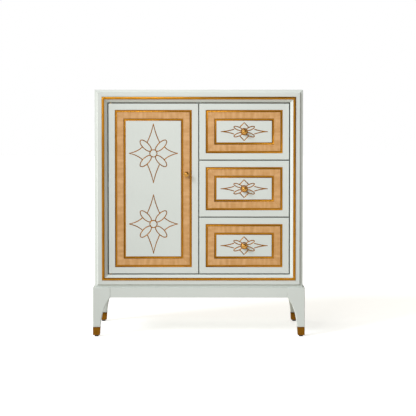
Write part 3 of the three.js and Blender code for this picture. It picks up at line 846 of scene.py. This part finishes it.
def star_tree(name, lining):
    tree, inputs = new_tree(name, {"Centre": (0.0, 0.0, 0.0), **DOOR_STAR, **PETAL, **LINE})
    width, height, radius = inputs["Half width"], inputs["Half height"], inputs["Line radius"]
    # One petal: a circle made an ellipse, turned to the diagonal, moved out and squashed.
    oval = {"X": inputs["Petal length"], "Y": inputs["Petal width"], "Z": 1.0}
    shape = add(tree, "ShaderNodeCombineXYZ", oval)
    diagonal = {0: inputs["Petal reach"], 1: math.sqrt(0.5)}
    reach = add(tree, "ShaderNodeMath", diagonal, operation="MULTIPLY")
    out = add(tree, "ShaderNodeCombineXYZ", {"X": reach, "Y": reach})
    circle = add(tree, "GeometryNodeCurvePrimitiveCircle", {"Resolution": 44, "Radius": 1.0})
    turned_out = {"Translation": out, "Rotation": (0.0, 0.0, math.radians(45)), "Scale": shape}
    ellipse = add(tree, "GeometryNodeTransform", {"Geometry": circle, **turned_out})
    squashed = {"Geometry": ellipse, "Scale": inputs["Petal squash"]}
    quarter = [add(tree, "GeometryNodeTransform", squashed)]
    # Half of an upright spike and half of a side one, each a curve with one pull point.
    for half, tip in (("Upper", {"Y": height}), ("Side", {"X": width})):
        end = add(tree, "ShaderNodeCombineXYZ", tip)
        spike = {"Start": inputs[half + " foot"], "Middle": inputs[half + " pull"], "End": end}
        quarter.append(add(tree, "GeometryNodeCurveQuadraticBezier", {"Resolution": 18, **spike}))
    lines = []
    for x, y in ((1, 1), (-1, 1), (-1, -1), (1, -1)):
        for line in quarter:
            mirrored = {"Geometry": line, "Scale": (x, y, 1.0)}
            lines.append(add(tree, "GeometryNodeTransform", mirrored))
    middle = {"Resolution": 40, "Radius": inputs["Ring radius"]}
    lines.append(add(tree, "GeometryNodeCurvePrimitiveCircle", middle))
    # How far out a point lies: 0 at the middle and 1 at a tip. Lines thin from 0.75 outwards.
    size = add(tree, "ShaderNodeCombineXYZ", {"X": width, "Y": height, "Z": 1.0})
    place = add(tree, "GeometryNodeInputPosition")
    relative = add(tree, "ShaderNodeVectorMath", {0: place, 1: size}, operation="DIVIDE")
    outwards = add(tree, "ShaderNodeVectorMath", {0: relative}, operation="LENGTH")
    thinner = {"From Min": 0.75, "From Max": 1.0, "To Min": 1.0, "To Max": 0.75}
    thinning = add(tree, "ShaderNodeMapRange", {"Value": outwards.outputs["Value"], **thinner})
    core_radius = add(tree, "ShaderNodeMath", {0: radius, 1: inputs["Wall"]}, operation="SUBTRACT")
    sweeps = []
    for across in (radius, core_radius):
        rim = {"Resolution": 10, "Radius": across}
        profile = add(tree, "GeometryNodeCurvePrimitiveCircle", rim)
        # Lines cross, so each is swept by itself and all are united into one closed shape.
        united = add(tree, "GeometryNodeMeshBoolean", operation="UNION", solver="MANIFOLD")
        for line in lines:
            swept = {"Curve": line, "Profile Curve": profile, "Scale": thinning, "Fill Caps": True}
            sweep = add(tree, "GeometryNodeCurveToMesh", swept)
            tree.links.new(sweep.outputs["Mesh"], united.inputs["Mesh 2"])
        sweeps.append(united)
    line, core = sweeps
    if lining:
        # The shell is what is left of the round line without its core and its front half.
        block = add(tree, "GeometryNodeMeshCube", {"Size": (1.0, 1.0, 0.1)})
        forwards = {"Geometry": block, "Translation": (0.0, 0.0, 0.04995)}
        ahead = add(tree, "GeometryNodeTransform", forwards)
        for cutter in (core, ahead):
            line = add(tree, "GeometryNodeMeshBoolean", {"Mesh 1": line, "Mesh 2": cutter}, **CUT)
    on_face = {"Translation": inputs["Centre"], "Rotation": (math.radians(90), 0.0, 0.0)}
    upright = add(tree, "GeometryNodeTransform", {"Geometry": line, **on_face})
    close_tree(tree, upright, inputs)
    return tree


engraver = star_tree("star line", False)
gilder = star_tree("star gilding", True)

# %% [markdown]
# ## Fronts
#
# A front is one board whose section, carried round its own outline, gives the eased edge, the
# painted rail, two channels for the gilt grooves, the shallow bed of the veneer band and the
# raised middle. Three pieces are laid into it: the gilt grooves, which are half-round
# channels, the veneer band in four mitred strips, and the lining of the stars.

# %% The section of a front and what is laid into it
THICKNESS, RAIL, GROOVE, BAND = 20, 24, 8.5, 24
BED, CHANNEL = -1.7, -4.6  # how deep the band and the gilt grooves are let in

band_at = RAIL + GROOVE
band_end = band_at + BAND
field_at = band_end + GROOVE
front_section = ease(
    [(12, -THICKNESS, 0), (0, -THICKNESS, 0.8), (0, 0, 1.1), (RAIL, 0, 0.7), (RAIL, CHANNEL, 0)]
    + [(band_at, CHANNEL, 0), (band_at, BED, 0), (band_end, BED, 0), (band_end, CHANNEL, 0)]
    + [(field_at, CHANNEL, 0), (field_at, 0, 0.7), (field_at + 8, 0, 0)]
)
strip_start, strip_end, strip_back = band_at + 0.05, band_end - 0.05, BED + 0.2
band_section = ease(
    [(strip_start, strip_back, 0), (strip_start, -0.02, 0.25)]
    + [(strip_end, -0.02, 0.25), (strip_end, strip_back, 0)]
)


def groove_section(start, low_side, high_side):
    """A half-round channel from its left lip to its right one, each lip at its own height."""
    half = GROOVE / 2 - 0.06
    hollow = []
    for inwards, forwards in arc_points((0, 0), (half, 3.0), 180, 360, 12):
        share = (inwards + half) / (2 * half)
        lip = low_side + (high_side - low_side) * share
        hollow.append((start + GROOVE / 2 + inwards, lip + forwards))
    floor = CHANNEL + 0.1
    return [(hollow[0][0], floor)] + hollow + [(hollow[-1][0], floor)]


groove_sections = (groove_section(RAIL, -0.7, -0.3), groove_section(band_end, -0.3, -0.7))


def front_pieces(prefix, front_node, band_node, stars, holes):
    """The board, its gilt grooves, its band and its stars."""
    low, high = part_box(front_node)
    shape = ring(front_section, low, high, low.y, closed=False)
    board = make(front_node + "_finished", shape, lacquer)
    for hole in holes:
        cut_out(board, node_cutter(hole))
    grooves = bmesh.new()
    for section in groove_sections:
        grooves.from_mesh(ring(section, low, high, low.y, closed=True))
    gilt = make(prefix + "gilt_grooves", from_bmesh(grooves, outwards=False), gold_paint)
    strips = lengths(band_section, low, high, low.y, 0.04)
    band = make(band_node + "_finished", strips, veneer)
    linings = []
    for number, (centre, sizes) in enumerate(stars):
        place = {"Centre": tuple(centre), **sizes}
        wide = {**place, "Line radius": 1.83 * MM}
        cut_out(board, grow("engraver", engraver, wide, None))
        linings.append(grow(f"{prefix}star_{number + 1}", gilder, place, gold_paint))
    return board, gilt, band, linings


# %% [markdown]
# ## Knobs
#
# A knob is turned from one brass bar: a stud, a thin flange, a neck, and a domed head with a
# fine groove round a small button in the middle. A screw from behind the front holds it.

# %% The outline of a knob, and fitting one
KNOB_OUTLINE = (
    [(0, -13), (2, -13), (2, 0.2), (6.6, 0.2), (7, 0.6), (7, 1.2), (6.6, 1.6), (4.6, 2.6)]
    + [(4.2, 3.6), (4.2, 9.2)]
    + arc_points((0, 17), (10.5, 8.2), -62, 58, 18)
    + [(5.3, 24.3), (4.9, 23.9), (4.4, 23.9), (4.0, 24.4)]
    + arc_points((0, 24.4), (4.0, 1.5), 12, 90, 6)[:-1]
    + [(0, 25.9)]
)


def fit_knob(node, body, inner_y, seed=7):
    """A knob where its plain solid is, and its screw on the inner side of the front."""
    low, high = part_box(node)
    middle = (low + high) / 2
    place = Vector((middle.x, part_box("door_leaf")[0].y, middle.z))
    shape = turned(KNOB_OUTLINE, place, Vector((0, -1, 0)))
    settle(make(node + "_finished", shape, knob_brass), body, "gilt_brass", node)
    head = {"Radius": 4 * MM, "Foot radius": 4 * MM, "Depth": 2 * MM, "Rise": 2 * MM}
    head |= {"Facing": (0.0, 1.0, 0.0), "Seed": seed}
    behind = [Vector((middle.x, inner_y, middle.z))]
    settle(grow(node + "_screw", screw_tree, head, steel, behind), body, "steel")


# %% [markdown]
# ## The door
#
# The door carries two stars, hangs on two pivot hinges let into its ends, and closes against
# a magnetic catch. The strike plate for the catch is a small steel plate behind the door.

# %% Door leaf, band, grooves, stars and knob
STAR_RISE = 133.4 * MM  # from the door's middle to the middle of a star

door_low, door_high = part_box("door_leaf")
door_middle = (door_low + door_high) / 2
door_face = Vector((door_middle.x, door_low.y, door_middle.z))
stars = [(door_face + Vector((0, 0, rise)), DOOR_STAR) for rise in (STAR_RISE, -STAR_RISE)]
let_in = ("door_knob", "door_pivot_top", "door_pivot_bottom")
leaf, gilt, band, linings = front_pieces(
    "door_", "door_leaf", "door_veneer_band", stars, let_in
)
cut_out(band, node_cutter("door_knob"))
for lining in linings:
    settle(lining, "door", "gold_paint")
settle(gilt, "door", "gold_paint")
settle(band, "door", "veneer", "door_veneer_band")
fit_knob("door_knob", "door", door_high.y)

# %% Pivot hinges, strike plate and catch
PLATE_HOLES = (22, 38)  # millimetres from the end of a hinge plate

for end, up in (("top", 1), ("bottom", -1)):
    node = "door_pivot_" + end
    pivot = eased_copy(node, 0.3, 2, hinge_brass)
    low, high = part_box(node)
    plate_z = door_high.z if up > 0 else door_low.z
    plate_y = (low.y + high.y) / 2
    points = [Vector((low.x + along * MM, plate_y, plate_z)) for along in PLATE_HOLES]
    screws("door_pivot_screws_" + end, "door", points, (0.0, 0.0, float(up)), 2.4, pivot)
    settle(pivot, "door", "hinge_brass", node)

catch_low, catch_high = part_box("magnetic_catch")
catch = eased_copy("magnetic_catch", 0.8, 3, pale_acetal)
settle(catch, "carcass", "catch_plastic", "magnetic_catch")
for number, share in enumerate((0.3, 0.7)):
    z = catch_low.z + (catch_high.z - catch_low.z) * share
    low = Vector((catch_low.x + 2 * MM, catch_low.y - 0.3 * MM, z - 1 * MM))
    high = Vector((catch_high.x - 2 * MM, catch_low.y + 4 * MM, z + 1 * MM))
    settle(slab(f"catch_pole_{number + 1}", low, high, 0.2, steel), "carcass", "steel")
plate_low = Vector((catch_low.x - 1 * MM, door_high.y + 0.02 * MM, catch_low.z - 10 * MM))
plate_high = Vector((catch_high.x + 1 * MM, door_high.y + 0.9 * MM, catch_high.z + 10 * MM))
strike = slab("door_strike_plate", plate_low, plate_high, 0.3, steel)
middle_x = (plate_low.x + plate_high.x) / 2
heights = (plate_low.z + 5 * MM, plate_high.z - 5 * MM)
points = [Vector((middle_x, plate_high.y, z)) for z in heights]
screws("door_strike_screws", "door", points, (0.0, 1.0, 0.0), 2.2, strike, leaf)
settle(leaf, "door", "painted_wood", "door_leaf")
settle(strike, "door", "steel")

# %% [markdown]
# ## The drawers
#
# Each drawer is a lacquered front on a birch box. The sides run back 340 mm and are grooved
# for the runners; the back stands between them on two dowels at each end, whose ends show as
# darker discs; the thin bottom slides in from behind. A drawer rides out on the runners, and
# the runners stay on the carcass.

# %% Drawer fronts, boxes and their dowels
BOX_WOODS = {"side_left": birch_deep, "side_right": birch_deep, "back": birch_across}
BOX_WOODS["bottom"] = birch_across

for place in ("bottom", "middle", "top"):
    body = "drawer_" + place
    node = body + "_"
    low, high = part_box(node + "front")
    middle = (low + high) / 2
    star = (Vector((middle.x, low.y, middle.z)), DRAWER_STAR)
    let_in = (node + "knob", node + "bottom")
    board, gilt, band, linings = front_pieces(
        node, node + "front", node + "veneer_band", [star], let_in
    )
    settle(board, body, "painted_wood", node + "front")
    settle(gilt, body, "gold_paint")
    settle(linings[0], body, "gold_paint")
    settle(band, body, "veneer", node + "veneer_band")
    fit_knob(node + "knob", body, high.y, seed=3 + len(place))
    for part, wood in BOX_WOODS.items():
        settle(eased_copy(node + part, 0.5, 2, wood), body, "box_wood", node + part)
    back_low, back_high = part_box(node + "back")
    y = (back_low.y + back_high.y) / 2
    for side, outwards in (("left", -1), ("right", 1)):
        low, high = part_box(node + "side_" + side)
        x = low.x if outwards < 0 else high.x
        points = [Vector((x, y, z)) for z in (back_low.z + 22 * MM, back_high.z - 22 * MM)]
        plug = {"Radius": 4 * MM, "Foot radius": 4 * MM, "Depth": 0.6 * MM, "Rise": 0.1 * MM}
        plug["Facing"] = (float(outwards), 0.0, 0.0)
        dowels = grow(node + "dowels_" + side, plug_tree, plug, birch_across, points)
        settle(dowels, body, "box_wood")

# %% Runners and their screws
for place in ("bottom", "middle", "top"):
    for side, outwards in (("left", 1), ("right", -1)):
        node = f"runner_{place}_{side}"
        runner = eased_copy(node, 0.8, 2, birch_deep)
        low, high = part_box(node)
        x = high.x if outwards > 0 else low.x
        z = (low.z + high.z) / 2
        ends = [Vector((x, y, z)) for y in (low.y + 25 * MM, high.y - 25 * MM)]
        facing = (float(outwards), 0.0, 0.0)
        screws(node + "_screws", "carcass", row_of(*ends, 4), facing, 3.2, runner)
        settle(runner, "carcass", "box_wood", node)

# %% [markdown]
# ## Floor, light and camera
#
# The setting is a plain studio with a floor of lit acrylic, which stays white by its own
# light. The key light is as wide as a patch of bright cloud and stands 50 degrees to the left
# and 33 up, so mouldings are light on their left and upper sides and shaded on the right and
# below. A soft box a little to the left brightens the fronts. The surroundings are bright on
# the left and dim on the right, and only the camera sees them as plain white. The view is
# nearly level, from a little below the height of the cabinet's top, tilted down by 2 degrees;
# the lens is shifted down for the rest, so uprights stay almost parallel.

# %% The floor and the surroundings
scene = bpy.context.scene
scene.view_settings.view_transform = "Standard"

floor_material, tree, shader = new_material(
    "lit_acrylic_floor",
    {"Roughness": 0.7, "Emission Color": (1.0, 1.0, 1.0, 1.0), "Emission Strength": 0.6},
)
place = add(tree, "ShaderNodeTexCoord").outputs["Object"]
cloud = add(tree, "ShaderNodeTexNoise", {"Vector": place, "Scale": 1.5, "Detail": 3.0})
tone = laid_over(tree, linear("#F1F1EF"), cloud, "#F4F4F2")
tree.links.new(tone, shader.inputs["Base Color"])
bm = bmesh.new()
bmesh.ops.create_grid(bm, x_segments=2, y_segments=2, size=20)
floor = make("floor", from_bmesh(bm), floor_material)
floor.visible_diffuse = False  # lights the cabinet no more than the surroundings do

world = bpy.data.worlds.new("bright_on_the_left")
scene.world = world
world.use_nodes = True
sky = world.node_tree
seen = add(sky, "ShaderNodeLightPath").outputs["Is Camera Ray"]
direction = add(sky, "ShaderNodeTexCoord").outputs["Generated"]
part_of = add(sky, "ShaderNodeSeparateXYZ", {0: direction}).outputs
glow = None
for axis, side, brightness in (("X", -1, 1.0), ("X", 1, 0.12), ("Z", 1, 0.35), ("Z", -1, 0.4)):
    lobe = {"Value": part_of[axis], "From Max": side, "To Max": brightness}
    wall = add(sky, "ShaderNodeMapRange", lobe)
    glow = add(sky, "ShaderNodeMath", {0: glow, 1: wall}) if glow else wall
strength = add(sky, "ShaderNodeMapRange", {"Value": seen, "To Min": glow, "To Max": 1.0})
tint = laid_over(sky, linear("#FFFAEC"), seen, "#FFFFFF")
background = sky.nodes["Background"]
sky.links.new(tint, background.inputs["Color"])
sky.links.new(strength.outputs["Result"], background.inputs["Strength"])
print("floor and world:", floor.name, world.name)

# %% Two lights and the camera


def aimed(name, kind, aim, azimuth, elevation, distance, **settings):
    """Azimuth 0 is straight ahead of the front and positive to the right, in degrees."""
    light = bpy.data.lights.new(name, kind)
    for setting, value in settings.items():
        setattr(light, setting, value)
    lamp = placed(name, light)
    a, e = math.radians(azimuth), math.radians(elevation)
    away = Vector((math.sin(a) * math.cos(e), -math.cos(a) * math.cos(e), math.sin(e)))
    lamp.location = aim + away * distance
    lamp.rotation_euler = away.to_track_quat("Z", "Y").to_euler()


key = {"energy": 1.42, "angle": math.radians(20), "color": (0.92, 1.0, 1.12)}
aimed("key_from_the_left", "SUN", Vector((0, flat_y, 0.5)), -50, 33, 3.0, **key)
fill = {"size": 0.8, "energy": 2.5, "spread": math.radians(64)}
aimed("front_soft_box", "AREA", Vector((0.13, flat_y, 0.62)), -18, 25, 2.2, **fill)

camera = bpy.data.cameras.new("camera")
camera.lens = 116.6
camera.sensor_width = 36
camera.shift_x = 0.0202
camera.shift_y = -0.1201
viewer = placed("camera", camera)
viewer.location = (0.003, -5.255, 0.852)
viewer.rotation_euler = (math.radians(90 - 2), 0, 0)
scene.camera = viewer
print("camera at", [round(c, 3) for c in viewer.location], "lens", camera.lens)
